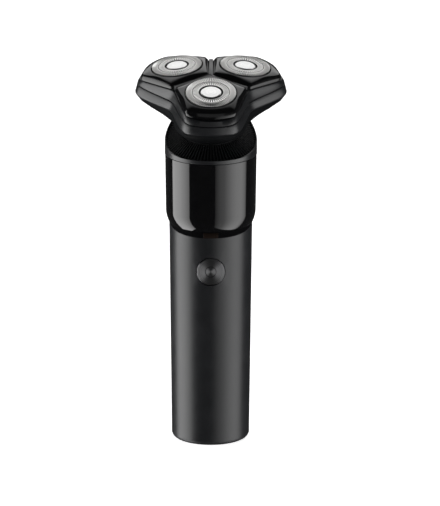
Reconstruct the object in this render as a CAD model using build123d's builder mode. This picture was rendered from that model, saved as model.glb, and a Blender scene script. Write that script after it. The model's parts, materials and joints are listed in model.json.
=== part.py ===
from build123d import *
from math import atan2, cos, hypot, pi, radians, sin, sqrt, tan
import os

os.makedirs("parts", exist_ok=True)

# Electric shaver, in millimetres. It stands on its base at z = 0, +Z runs up the handle and -Y is the front.

# Handle tube and base cap
base_flat_radius = 14.9
base_rim_height = 1.9
base_spigot_height = 4.2
base_spigot_wall = 1.4
handle_bottom_radius = 17.6
handle_top_radius = 18.8
handle_wall = 1.3
handle_top = 104.0

# Gloss collar and shoulder
collar_bottom = 99.5
collar_top = 133.7
collar_low_radius = 20.4
collar_top_radius = 20.75
collar_lip_height = 8.5
collar_land_height = 2.3
neck_step = 0.55
collar_wall = 2.6
rim_radius = 20.9
rim_wall = 0.7
rim_front_height = 1.8
rim_sweep_radius = 52.5
rim_sweep_depth = 30.6
rim_rear_radius = 25.0
rib_count = 84
rib_thickness = 0.5
rib_drop = 0.15

# Power button in the front of the handle
button_height = 82.8
button_radius = 6.3
button_travel = 0.8
button_dimple_radius = 2.4
button_dish = 0.4
button_recess = 0.15
button_stem_radius = 2.0

# Charging socket, board and cell
port_width = 8.94
port_height = 3.26
port_wall = 0.28
port_depth = 7.5
port_setback = 0.4
port_offset = 7.0
board_width = 20.0
board_thickness = 1.2
board_top = 102.4
cell_radius = 9.15
cell_length = 65.0
cell_bottom = 14.0

# Motor in the collar
motor_radius = 12.2
motor_bottom = 105.5
motor_length = 25.5
motor_shell = 1.0
motor_shaft_radius = 1.0
motor_boss_radius = 3.5
motor_boss_height = 1.8
mount_thickness = 1.5
drive_bit_flats = 5.0
drive_bit_height = 3.6
drive_bit_taper = 14.0

# Head, along an axis that crosses the handle's axis at the neck and leans to the front
neck_height = 146.3
head_lean = 12.0
head_reach = 26.4
pod_radius = 17.9
pod_tilt = 7.5
lobe_reach = 33.8
lobe_corner_out = 30.6
lobe_corner_side = 12.2
lobe_side_flare = 2.1
lobe_notch_radius = 19.9
lobe_corner_round = 5.5
lobe_round_flare = 2.0
lobe_notch_round = 2.0
web_setback = 4.2
web_rise = 1.6
cover_round = 2.2
lobe_angles = (-90.0, 30.0, 150.0)
lobe_names = ("front", "right", "left")

# Heights in the head, measured along its axis from the plane of the guards
frame_bottom = -8.9
base_band_bottom = -12.7
base_edge = 0.7
frame_flare = 0.9
frame_flare_slope = 0.26
base_flare = 1.2
bowl_top = -23.3
bowl_top_radius = 18.8
seat_height = -28.1
seat_radius = 14.0
boss_drop = 0.9
boss_radius = 13.2
spigot_radius = 9.5
spigot_bore = 6.6
spigot_top = -21.6

# Pods: cover, guard and cutter, measured along the pod's own axis from the top of the guard
cover_land = 0.8
cover_skirt_top = 2.6
cover_seat = 3.35
cover_bottom = 4.1
cover_flare = 0.3
cover_gap_half = 1.5
bezel_width = 1.15
guard_radius = 11.35
guard_sheet = 0.6
guard_flange = 1.25
guard_flange_top = 3.75
guard_flange_height = 0.85
guard_travel = 1.5
cap_radius = 4.6
cap_ring_radius = 5.45
track_groove_radius = 8.4
inner_slots = 30
outer_slots = 42
slot_width = 0.5
blade_count = 14
blade_thickness = 0.5
hub_radius = 3.7
hub_top = 1.2
hub_ceiling = 1.9
hub_bottom = 6.0
socket_flats = 4.4
spindle_flats = 3.2
spindle_drop = 0.2

# Gears under the deck
sun_teeth = 15
planet_teeth = 29
gear_thickness = 2.2
gear_top = -10.8
deck_thickness = 0.9
plate_thickness = 0.5
post_radius = 1.5
spindle_radius = 2.2
deck_screw_inset = 2.2
sun_stem_radius = 5.2

# Clearances
seam = 0.3
cover_seam = 0.35
press_fit = 0.03
running_fit = 0.08
slide_fit = 0.3
bezel_gap = 0.4
drive_play = 0.45

# Directions and planes
lean = radians(head_lean)
tilt = radians(pod_tilt)
head_up = Vector(0, -sin(lean), cos(lean))
head_rear = Vector(0, cos(lean), sin(lean))
pod_up = Vector(0, -sin(lean + tilt), cos(lean + tilt))
pod_out = Vector(0, -cos(lean + tilt), -sin(lean + tilt))
neck_point = Vector(0, 0, neck_height)
head_origin = neck_point + head_up * head_reach
pod_origin = head_origin - head_rear * pod_radius
head_axis = Axis(neck_point, head_up)
pod_axis = Axis(pod_origin, pod_up)
head_plane = Plane(origin=head_origin, x_dir=(1, 0, 0), z_dir=head_up)
head_section = Plane(origin=head_origin, x_dir=(1, 0, 0), z_dir=-head_rear)
head_side = Plane(origin=head_origin, x_dir=head_rear, z_dir=(1, 0, 0))
pod_plane = Plane(origin=pod_origin, x_dir=(-1, 0, 0), z_dir=pod_up)
pod_section = Plane(origin=pod_origin, x_dir=(1, 0, 0), z_dir=pod_out)

# Sizes that follow
handle_slope = (handle_top_radius - handle_bottom_radius) / (collar_bottom - base_rim_height)
button_face = handle_bottom_radius + handle_slope * (button_height - base_rim_height) - button_recess
collar_inner = collar_low_radius - collar_wall
neck_radius = handle_top_radius - neck_step
collar_socket = neck_radius + press_fit * 4
board_front = port_offset + port_height / 2 + press_fit * 2 + board_thickness
board_back = board_front - board_thickness
cell_offset = cell_radius - board_back + 1.1
motor_top = motor_bottom + motor_length
mount_bottom = motor_top + seam / 3
mount_top = mount_bottom + mount_thickness
rim_inner = rim_radius - rim_wall
boss_top = seat_height - boss_drop
spindle_top = hub_ceiling + guard_travel + spindle_drop
spindle_head = 2.5
drive_depth = spindle_top + spindle_head / 2
gear_distance = pod_radius - drive_depth * tan(tilt)
gear_module = 2 * gear_distance / (sun_teeth + planet_teeth)
gear_floor = gear_top - gear_thickness
deck_screw_radius = gear_distance - deck_screw_inset
deck_bottom = gear_top + slide_fit
deck_top = deck_bottom + deck_thickness
bezel_radius = guard_radius + bezel_gap
pocket_radius = guard_radius + guard_flange + bezel_gap


def section(plane, *points):
    """Closed outline of straight edges on a plane."""
    with BuildSketch(plane) as outline:
        with BuildLine():
            Polyline(*points, close=True)
        make_face()
    return outline.sketch.face()


def on_pods(part):
    """The part of the front pod, with its copies at the other two."""
    return [part.rotate(head_axis, angle - lobe_angles[0]) for angle in lobe_angles]


def save(part, name):
    """Write one node."""
    part.label = name
    export_step(part, f"parts/{name}.step")


def pod_y(reach, height):
    """Distance along the pod's plane of a point at a reach from the head's axis."""
    return (reach - pod_radius - height * sin(tilt)) / cos(tilt)


def rim_height(y):
    """Height of the shoulder's rim, which sweeps up from the front to the rear."""
    front = collar_top + rim_front_height
    run = y + rim_radius
    if run <= rim_sweep_depth:
        return front + rim_sweep_radius - sqrt(rim_sweep_radius**2 - run**2)
    slope = rim_sweep_depth / rim_sweep_radius
    top = front + (rim_sweep_radius + rim_rear_radius) * (1 - sqrt(1 - slope**2))
    left = min(rim_sweep_depth + rim_rear_radius * slope - run, rim_rear_radius)
    return top - rim_rear_radius + sqrt(rim_rear_radius**2 - max(left, 0) ** 2)


def head_outline(height, grow=0.0):
    """Three-lobed outline of the head at a height along its axis."""
    with BuildSketch(head_plane.offset(height)) as outline:
        with BuildLine():
            for angle in lobe_angles:
                ends = []
                for turn in (angle, angle + 120):
                    out = Vector(cos(radians(turn)), sin(radians(turn)))
                    side = Vector(-out.Y, out.X)
                    corner = out * (lobe_corner_out + grow)
                    ends.append((corner, side * (lobe_corner_side + grow * lobe_side_flare), out))
                corner, side, out = ends[0]
                after, after_side, _ = ends[1]
                notch_turn = radians(angle + 60)
                notch = Vector(cos(notch_turn), sin(notch_turn)) * (lobe_notch_radius + grow)
                ThreePointArc(corner - side, out * (lobe_reach + grow), corner + side)
                Line(corner + side, notch)
                Line(notch, after - after_side)
        make_face()
        by_reach = outline.vertices().sort_by(lambda corner: hypot(corner.X, corner.Y))
        fillet(by_reach[:3], lobe_notch_round)
        by_reach = outline.vertices().sort_by(lambda corner: hypot(corner.X, corner.Y))
        fillet(by_reach[-6:], lobe_corner_round + lobe_round_flare * max(grow, 0))
    return outline.sketch.face()


def divided_circle(outline, height, radius):
    """Circle round the head's axis, divided at the same bearings as an outline's corners."""
    plane = head_plane.offset(height)
    corners = [plane.to_local_coords(Vector(*corner)) for corner in outline.vertices()]
    turns = sorted(atan2(corner.Y, corner.X) for corner in corners)
    with BuildSketch(plane) as circle:
        with BuildLine():
            for turn, after in zip(turns, turns[1:] + [turns[0] + 2 * pi]):
                stops = (turn, (turn + after) / 2, after)
                ThreePointArc(*[(radius * cos(stop), radius * sin(stop)) for stop in stops])
        make_face()
    return circle.sketch.face()


def cover_outline(height, inset=0.0):
    """Five-sided outline of one lobe's cover on the pod's plane."""
    gap = cover_gap_half + inset
    along = lobe_notch_radius - cover_seam * 2
    notch_reach = along * cos(pi / 3) + gap * sin(pi / 3)
    notch_side = along * sin(pi / 3) - gap * cos(pi / 3)
    with BuildSketch(pod_plane.offset(-height)) as outline:
        with BuildLine():
            apex = (0, pod_y(gap / sin(pi / 3), -height))
            corner = pod_y(lobe_corner_out - cover_seam - inset, -height)
            corner_side = lobe_corner_side - cover_seam - inset
            end = (0, pod_y(lobe_reach - cover_seam - inset, -height))
            notch = pod_y(notch_reach, -height)
            Line(apex, (notch_side, notch))
            Line((notch_side, notch), (corner_side, corner))
            ThreePointArc((corner_side, corner), end, (-corner_side, corner))
            Line((-corner_side, corner), (-notch_side, notch))
            Line((-notch_side, notch), apex)
        make_face()
        fillet(outline.vertices().sort_by(Axis.Y)[:3], cover_round)
        fillet(outline.vertices().sort_by(Axis.Y)[-2:], lobe_corner_round - cover_seam)
    return outline.sketch.face()


def gear_outline(plane, teeth, turn):
    """Spur gear with straight flanks, one tooth centred on the angle turn."""
    pitch = gear_module * teeth / 2
    tip = pitch + 0.85 * gear_module
    root = pitch - 1.2 * gear_module
    step = 2 * pi / teeth
    points = []
    for tooth in range(teeth):
        middle = radians(turn) + tooth * step
        for radius, share in ((root, -0.30), (tip, -0.11), (tip, 0.11), (root, 0.30)):
            points.append((radius * cos(middle + share * step), radius * sin(middle + share * step)))
    return section(plane, *points)


# Handle tube: tapered, open at both ends and stepped in under the collar.
# In front it has the button's hole and a slot for the light.
with BuildPart() as handle_shell:
    profile = section(
        Plane.XZ,
        (handle_bottom_radius - handle_wall, base_rim_height + seam / 3),
        (handle_bottom_radius, base_rim_height + seam / 3),
        (handle_top_radius, collar_bottom - seam / 3),
        (neck_radius, collar_bottom - seam / 3),
        (neck_radius, handle_top),
        (handle_top_radius - handle_wall, handle_top),
    )
    revolve(profile, axis=Axis.Z)
    with BuildSketch(Plane.XZ.offset(handle_bottom_radius / 2)) as button_hole:
        with Locations((0, button_height)):
            Circle(button_radius + bezel_gap * 0.9)
    extrude(amount=handle_bottom_radius, mode=Mode.SUBTRACT)
    with BuildSketch(Plane.XZ.offset(handle_bottom_radius / 2)) as light_slot:
        with Locations((0, collar_bottom + 2.2)):
            Rectangle(5.4, 1.6)
    extrude(amount=handle_bottom_radius, mode=Mode.SUBTRACT)
save(handle_shell.part, "handle_shell")

# Base cap: flat foot with a rounded edge, a spigot inside the tube and the opening for the charging socket
with BuildPart() as base_cap:
    spigot_outer = handle_bottom_radius - handle_wall - running_fit
    with BuildSketch(Plane.XZ) as cap_profile:
        with BuildLine():
            rim_start = (base_flat_radius, 0)
            rim_end = (handle_bottom_radius - 0.1, base_rim_height)
            bulge = (base_flat_radius + (rim_end[0] - base_flat_radius) * 0.72, base_rim_height * 0.34)
            ThreePointArc(rim_start, bulge, rim_end)
            Polyline(
                rim_end,
                (spigot_outer, base_rim_height),
                (spigot_outer, base_rim_height + base_spigot_height),
                (spigot_outer - base_spigot_wall, base_rim_height + base_spigot_height),
                (spigot_outer - base_spigot_wall, base_rim_height),
                (0, base_rim_height),
                (0, 0),
                rim_start,
            )
        make_face()
    revolve(axis=Axis.Z)
    with BuildSketch(Plane.XY) as port_hole:
        with Locations((0, -port_offset)):
            SlotOverall(port_width + slide_fit, port_height + slide_fit)
    extrude(amount=base_rim_height, mode=Mode.SUBTRACT)
save(base_cap.part, "base_cap")

# Charging socket: drawn steel shell, open downward, and the tongue that carries the contacts
with BuildPart() as usb_socket:
    with BuildSketch(Plane.XY.offset(port_setback)) as shell_outer:
        with Locations((0, -port_offset)):
            SlotOverall(port_width, port_height)
    extrude(amount=port_depth)
    with BuildSketch(Plane.XY.offset(port_setback)) as shell_inner:
        with Locations((0, -port_offset)):
            SlotOverall(port_width - 2 * port_wall, port_height - 2 * port_wall)
    extrude(amount=port_depth - port_wall, mode=Mode.SUBTRACT)
save(usb_socket.part, "usb_socket")

with BuildPart() as usb_tongue:
    tongue_top = port_setback + port_depth - port_wall - running_fit
    with BuildSketch(Plane.XY.offset(tongue_top)) as heel:
        with Locations((0, -port_offset)):
            SlotOverall(port_width - 2 * port_wall - slide_fit, port_height - 2 * port_wall - slide_fit)
    extrude(amount=-2.0)
    with BuildSketch(Plane.XY.offset(tongue_top)) as blade:
        with Locations((0, -port_offset)):
            Rectangle(6.7, 0.7)
    extrude(amount=-(port_depth - port_wall - 0.8))
save(usb_tongue.part, "usb_tongue")

# Circuit board with its chips, the light and the switch
with BuildPart() as main_board:
    board_low = base_rim_height + slide_fit
    with BuildSketch(Plane.XZ.offset(board_back)) as board_face:
        with Locations((0, (board_low + board_top) / 2)):
            Rectangle(board_width, board_top - board_low)
        fillet(board_face.vertices(), 1.5)
    extrude(amount=board_thickness)
save(main_board.part, "main_board")

with BuildPart() as board_chips:
    for x, z, width, height in ((-4.5, 30, 5, 5), (4, 33, 4, 6), (-3, 48, 7, 7), (5, 62, 3, 8)):
        with BuildSketch(Plane.XZ.offset(board_front)) as chip:
            with Locations((x, z)):
                Rectangle(width, height)
        extrude(amount=1.1)
save(board_chips.part, "board_chips")

with BuildPart() as indicator_led:
    with BuildSketch(Plane.XZ.offset(board_front)) as led_face:
        with Locations((0, collar_bottom + 1.7)):
            Rectangle(3.2, 1.4)
    extrude(amount=1.2)
save(indicator_led.part, "indicator_led")

switch_depth = 3.3
plunger_length = 1.7
plunger_radius = 1.7
with BuildPart() as tact_switch:
    with BuildSketch(Plane.XZ.offset(board_front)) as switch_face:
        with Locations((0, button_height)):
            Rectangle(6.2, 6.2)
    extrude(amount=switch_depth)
    with BuildSketch(Plane.XZ.offset(board_front + switch_depth)) as plunger_hole:
        with Locations((0, button_height)):
            Circle(plunger_radius + running_fit)
    extrude(amount=-(button_travel + slide_fit + 0.7), mode=Mode.SUBTRACT)
save(tact_switch.part, "tact_switch")

# Power button: a dished, spun face with a small dimple, a stem behind it and the switch's plunger
plunger_front = board_front + switch_depth + plunger_length - 0.7
with BuildPart() as switch_plunger:
    with BuildSketch(Plane.XZ.offset(board_front + switch_depth - 0.7)) as plunger_face:
        with Locations((0, button_height)):
            Circle(plunger_radius)
    extrude(amount=plunger_length)
save(switch_plunger.part, "switch_plunger")

button_axis = Axis((0, 0, button_height), (0, -1, 0))
button_section = Plane(origin=(0, 0, button_height), x_dir=(1, 0, 0), z_dir=(0, 0, 1))
button_back = button_face - 2.2
with BuildPart() as power_button:
    lip = 0.35
    profile = section(
        button_section,
        (0, -plunger_front - press_fit),
        (button_stem_radius, -plunger_front - press_fit),
        (button_stem_radius, -button_back),
        (button_radius, -button_back),
        (button_radius, -button_face + lip),
        (button_radius - lip, -button_face),
        (button_radius - 2 * lip, -button_face),
        (button_dimple_radius + lip, -button_face + button_dish),
        (button_dimple_radius, -button_face + button_dish / 2),
        (button_dimple_radius - lip, -button_face + button_dish),
        (0, -button_face + button_dish * 1.6),
    )
    revolve(profile, axis=button_axis)
save(power_button.part, "power_button")

with BuildPart() as button_gasket:
    gasket_front = button_back - button_travel - slide_fit
    with BuildSketch(Plane.XZ.offset(gasket_front)) as gasket_face:
        with Locations((0, button_height)):
            Circle(button_radius + 0.6)
            Circle(button_stem_radius + running_fit, mode=Mode.SUBTRACT)
    extrude(amount=-0.8)
save(button_gasket.part, "button_gasket")

# Cell with its two end tabs
with BuildPart() as battery_cell:
    with BuildSketch(Plane.XY.offset(cell_bottom)) as cell_face:
        with Locations((0, cell_offset)):
            Circle(cell_radius)
    extrude(amount=cell_length)
    chamfer(battery_cell.edges().filter_by(GeomType.CIRCLE), 0.5)
save(battery_cell.part, "battery_cell")

tab_thickness = 0.25
with BuildPart() as battery_tabs:
    for height in (cell_bottom - tab_thickness - press_fit, cell_bottom + cell_length + press_fit):
        with BuildSketch(Plane.XY.offset(height)) as tab_face:
            with Locations((0, (cell_offset - board_back + seam) / 2)):
                Rectangle(5.0, cell_offset + board_back - seam)
        extrude(amount=tab_thickness)
save(battery_tabs.part, "battery_tabs")

# Inner frame: a cradle round the cell with grooves for the board, two bulkheads
# and two posts up to the motor mount
cradle_wall = 1.6
cradle_low = base_rim_height + base_spigot_height + 1.5
cradle_high = motor_bottom - 9.5
bulkhead = 1.8
post_offset = motor_radius + 2.4
with BuildPart() as chassis:
    cradle_inner = cell_radius + slide_fit
    cradle_outer = cradle_inner + cradle_wall
    rail = board_width / 2 + 1.6
    groove = board_thickness + slide_fit
    board_middle = (board_front + board_back) / 2
    with BuildSketch(Plane.XY.offset(cradle_low)) as cradle:
        with Locations((0, cell_offset)):
            Circle(cradle_outer)
        with Locations((0, (cell_offset - board_front - 0.6) / 2)):
            Rectangle(2 * rail, cell_offset + board_front + 0.6)
        with Locations((0, cell_offset)):
            Circle(cradle_inner, mode=Mode.SUBTRACT)
        with Locations((0, -board_front / 2)):
            Rectangle(2 * cradle_inner - 0.6, board_front * 2, mode=Mode.SUBTRACT)
        with Locations((0, -board_middle)):
            Rectangle(board_width + slide_fit, groove, mode=Mode.SUBTRACT)
    extrude(amount=cradle_high - cradle_low)
    disc_radius = handle_bottom_radius - handle_wall - base_spigot_wall
    slot_back = port_offset - port_height / 2 - slide_fit
    for height in (cradle_low, cradle_high):
        with BuildSketch(Plane.XY.offset(height)) as disc:
            Circle(disc_radius)
            with Locations((0, -disc_radius - slot_back)):
                Rectangle(board_width + slide_fit, 2 * disc_radius, mode=Mode.SUBTRACT)
        extrude(amount=bulkhead)
    with BuildSketch(Plane.XY.offset(cradle_high)) as posts:
        with Locations((-post_offset, 0), (post_offset, 0)):
            Rectangle(3.2, 5.0)
        Circle(motor_radius + slide_fit, mode=Mode.SUBTRACT)
    extrude(amount=mount_bottom - seam / 3 - cradle_high)
    with BuildSketch(Plane.XY.offset(mount_bottom)) as post_holes:
        with Locations((-post_offset, 0), (post_offset, 0)):
            Circle(0.8 + press_fit)
    extrude(amount=-5.5, mode=Mode.SUBTRACT)
save(chassis.part, "chassis")

# Motor: hollow can with a nose, its mount, and the screws of mount and frame
with BuildPart() as motor:
    bore = motor_shaft_radius + running_fit / 2
    profile = section(
        Plane.XZ,
        (bore, motor_bottom),
        (motor_radius, motor_bottom),
        (motor_radius, motor_top),
        (motor_boss_radius, motor_top),
        (motor_boss_radius, motor_top + motor_boss_height),
        (bore, motor_top + motor_boss_height),
        (bore, motor_top - motor_shell),
        (motor_radius - motor_shell, motor_top - motor_shell),
        (motor_radius - motor_shell, motor_bottom + motor_shell),
        (bore, motor_bottom + motor_shell),
    )
    revolve(profile, axis=Axis.Z)
    with BuildSketch(Plane.XY.offset(motor_top)) as tapped:
        with Locations((0, -8), (0, 8)):
            Circle(1.0 + press_fit)
    extrude(amount=-motor_shell, mode=Mode.SUBTRACT)
save(motor.part, "motor")

mount_radius = collar_inner - running_fit
with BuildPart() as motor_mount:
    with BuildSketch(Plane.XY.offset(mount_bottom)) as mount_face:
        Circle(mount_radius)
        Circle(motor_boss_radius + slide_fit, mode=Mode.SUBTRACT)
        with Locations((0, -8), (0, 8)):
            Circle(1.0 + running_fit, mode=Mode.SUBTRACT)
        with Locations((-post_offset, 0), (post_offset, 0)):
            Circle(0.8 + running_fit, mode=Mode.SUBTRACT)
    extrude(amount=mount_thickness)
save(motor_mount.part, "motor_mount")


def pan_screws(places, shank, length):
    """Pan-head screws that stand on the motor mount."""
    with BuildPart() as screws:
        with BuildSketch(Plane.XY.offset(mount_top + press_fit)) as heads:
            with Locations(*places):
                Circle(shank * 1.9)
        extrude(amount=0.7)
        with BuildSketch(Plane.XY.offset(mount_top + press_fit)) as shanks:
            with Locations(*places):
                Circle(shank)
        extrude(amount=-length)
    return screws.part


save(pan_screws([(0, -8), (0, 8)], 1.0, mount_thickness + 0.9), "motor_screws")
save(pan_screws([(-post_offset, 0), (post_offset, 0)], 0.8, mount_thickness + 4.5), "chassis_screws")

# Drive: rotor on the motor's shaft and a hexagonal bit with rounded ends where the two axes cross
shaft_bottom = motor_bottom + motor_shell / 2
with BuildPart() as motor_shaft:
    with BuildSketch(Plane.XY.offset(shaft_bottom)) as shaft_face:
        Circle(motor_shaft_radius)
    extrude(amount=neck_height - shaft_bottom)
save(motor_shaft.part, "motor_shaft")

with BuildPart() as motor_rotor:
    with BuildSketch(Plane.XY.offset(motor_bottom + motor_shell + 2)) as rotor_face:
        Circle(motor_radius - motor_shell - 1.7)
        Circle(motor_shaft_radius + press_fit, mode=Mode.SUBTRACT)
        with PolarLocations(motor_radius - motor_shell - 1.7, 5):
            Rectangle(5.5, 1.4, mode=Mode.SUBTRACT)
    extrude(amount=motor_length - 2 * motor_shell - 4)
save(motor_rotor.part, "motor_rotor")

with BuildPart() as drive_bit:
    with BuildSketch(Plane.XY.offset(neck_height)) as hexagon:
        RegularPolygon(drive_bit_flats / 2, 6, major_radius=False)
    extrude(amount=drive_bit_height / 2, both=True, taper=drive_bit_taper)
    with BuildSketch(Plane.XY.offset(neck_height - drive_bit_height / 2)) as bit_bore:
        Circle(motor_shaft_radius + press_fit)
    extrude(amount=drive_bit_height / 2 + press_fit, mode=Mode.SUBTRACT)
save(drive_bit.part, "drive_bit")

# Gloss collar with its rolled lower lip, and the smoked window let into the lip in front
window_width = 6.8
window_low = collar_bottom + 0.3
window_high = collar_bottom + collar_land_height - 0.1
with BuildPart() as collar_body:
    with BuildSketch(Plane.XZ) as collar_profile:
        with BuildLine():
            land_radius = handle_top_radius + press_fit * 2
            lip_foot = (land_radius, collar_bottom)
            lip_land = (land_radius, collar_bottom + collar_land_height)
            lip_head = (collar_low_radius, collar_bottom + collar_lip_height)
            lip_rise = (land_radius + collar_low_radius) / 2 + 0.2
            lip_middle = (lip_rise, collar_bottom + (collar_land_height + collar_lip_height) / 2 - 0.45)
            ledge = handle_top + 1.4
            Line(lip_foot, lip_land)
            ThreePointArc(lip_land, lip_middle, lip_head)
            Polyline(
                lip_head,
                (collar_top_radius, collar_top),
                (collar_inner, collar_top),
                (collar_inner, ledge),
                (collar_socket, ledge),
                (collar_socket, collar_bottom),
                lip_foot,
            )
        make_face()
    revolve(axis=Axis.Z)

window_plane = Plane.XZ.offset(handle_bottom_radius / 2)
window_centre = (0, (window_low + window_high) / 2)
with BuildPart() as gloss_collar:
    add(collar_body.part)
    with BuildSketch(window_plane) as window_hole:
        with Locations(window_centre):
            Rectangle(window_width + 2 * press_fit, window_high - window_low + 2 * press_fit)
    extrude(amount=handle_bottom_radius, mode=Mode.SUBTRACT)
save(gloss_collar.part, "gloss_collar")

with BuildPart() as indicator_window:
    add(collar_body.part)
    with BuildSketch(window_plane) as window_face:
        with Locations(window_centre):
            Rectangle(window_width, window_high - window_low)
    extrude(amount=handle_bottom_radius, mode=Mode.INTERSECT)
save(indicator_window.part, "indicator_window")

with BuildPart() as collar_seal:
    with BuildSketch(Plane.XY.offset(handle_top + press_fit)) as seal_face:
        Circle(collar_socket - running_fit)
        Circle(collar_socket - handle_wall, mode=Mode.SUBTRACT)
    extrude(amount=1.4 - 2 * press_fit)
save(collar_seal.part, "collar_seal")

# Shoulder: a thin rim whose edge sweeps up to the rear, round a ribbed cone with a leaning boss for the head
shoulder_bottom = collar_top + seam / 3
with BuildPart() as shoulder_rim:
    with BuildSketch(Plane.XY.offset(shoulder_bottom)) as rim_ring:
        Circle(rim_radius)
        Circle(rim_inner, mode=Mode.SUBTRACT)
    extrude(amount=rim_height(rim_radius) - collar_top)
    with BuildSketch(Plane.YZ) as sweep:
        with BuildLine():
            sweep_end = -rim_radius + rim_sweep_depth
            front = (-rim_radius, rim_height(-rim_radius))
            turn = (sweep_end, rim_height(sweep_end))
            rear = (rim_radius, rim_height(rim_radius))
            middle = (-rim_radius + rim_sweep_depth / 2, rim_height(-rim_radius + rim_sweep_depth / 2))
            ThreePointArc(front, middle, turn)
            half = (sweep_end + rim_radius) / 2
            ThreePointArc(turn, (half, rim_height(half)), rear)
            Polyline(rear, (rim_radius, shoulder_bottom), (-rim_radius, shoulder_bottom), front)
        make_face()
    extrude(amount=rim_radius, both=True, mode=Mode.INTERSECT)
save(shoulder_rim.part, "shoulder_rim")

rib_foot = collar_top + 0.6
with BuildPart() as ribbed_shoulder:
    cone_edge = rim_inner - press_fit * 2
    rib_end = cone_edge - press_fit
    shaft_well = spigot_bore - 0.2
    profile = section(
        Plane.XZ,
        (0, shoulder_bottom),
        (cone_edge, shoulder_bottom),
        (cone_edge, rib_foot),
        (boss_radius, rib_foot + (cone_edge - boss_radius) * 0.68),
        (0, rib_foot + (cone_edge - boss_radius) * 0.68),
    )
    revolve(profile, axis=Axis.Z)
    with BuildSketch(head_plane.offset(boss_top)) as boss:
        Circle(boss_radius)
    extrude(amount=-10)
    ribs = []
    for rib in range(rib_count):
        around = 2 * pi * rib / rib_count
        edge = head_plane.offset(boss_top).from_local_coords(
            Vector(boss_radius * cos(around), boss_radius * sin(around), 0)
        )
        bearing = atan2(edge.Y, edge.X)
        inner = hypot(edge.X, edge.Y)
        outward = Vector(cos(bearing), sin(bearing), 0)
        rib_plane = Plane(origin=(0, 0, 0), x_dir=outward, z_dir=(outward.Y, -outward.X, 0))
        rib_face = section(
            rib_plane,
            (inner - 0.6, rib_foot - 0.3),
            (rib_end, rib_foot - 0.3),
            (rib_end, rim_height(rib_end * sin(bearing)) - rib_drop),
            (inner, edge.Z - rib_drop),
            (inner - 0.6, edge.Z - rib_drop),
        )
        ribs.append(extrude(rib_face, amount=rib_thickness / 2, both=True, mode=Mode.PRIVATE))
    add(ribs)
    with BuildSketch(Plane.XY.offset(shoulder_bottom)) as foot_cut:
        Circle(2 * rim_radius)
    extrude(amount=-rim_radius, mode=Mode.SUBTRACT)
    with BuildSketch(Plane.XY.offset(shoulder_bottom)) as well:
        Circle(shaft_well)
    extrude(amount=neck_height - shoulder_bottom, mode=Mode.SUBTRACT)
    with BuildSketch(Plane.XY.offset(shoulder_bottom)) as skirt:
        Circle(collar_inner - slide_fit)
        Circle(collar_inner - slide_fit - 1.0, mode=Mode.SUBTRACT)
    extrude(amount=-(shoulder_bottom - mount_top - seam / 3))
save(ribbed_shoulder.part, "ribbed_shoulder")

with BuildPart() as shaft_seal:
    with BuildSketch(Plane.XY.offset(rib_foot + 2)) as shaft_seal_face:
        Circle(spigot_bore - 0.2 - running_fit)
        Circle(motor_shaft_radius + running_fit, mode=Mode.SUBTRACT)
    extrude(amount=1.6)
save(shaft_seal.part, "shaft_seal")

# Spigot that the head is pushed on, with the spring ring that holds it
ring_height = (spigot_top + seat_height) / 2
ring_depth = 0.5
with BuildPart() as neck_spigot:
    flange_low = boss_top + seam / 3
    flange_high = seat_height - slide_fit
    profile = section(
        head_section,
        (spigot_bore, flange_low),
        (boss_radius - 0.8, flange_low),
        (boss_radius - 0.8, flange_high),
        (spigot_radius, flange_high),
        (spigot_radius, ring_height - 0.5),
        (spigot_radius - ring_depth, ring_height - 0.5),
        (spigot_radius - ring_depth, ring_height + 0.5),
        (spigot_radius, ring_height + 0.5),
        (spigot_radius, spigot_top - 0.6),
        (spigot_radius - 0.6, spigot_top),
        (spigot_bore, spigot_top),
    )
    revolve(profile, axis=head_axis)
save(neck_spigot.part, "neck_spigot")

with BuildPart() as detent_ring:
    profile = section(
        head_section,
        (spigot_radius - ring_depth + running_fit, ring_height - 0.4),
        (spigot_radius + running_fit, ring_height - 0.4),
        (spigot_radius + running_fit, ring_height + 0.4),
        (spigot_radius - ring_depth + running_fit, ring_height + 0.4),
    )
    revolve(profile, axis=head_axis, revolution_arc=330)
save(detent_ring.part, "detent_ring")

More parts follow.
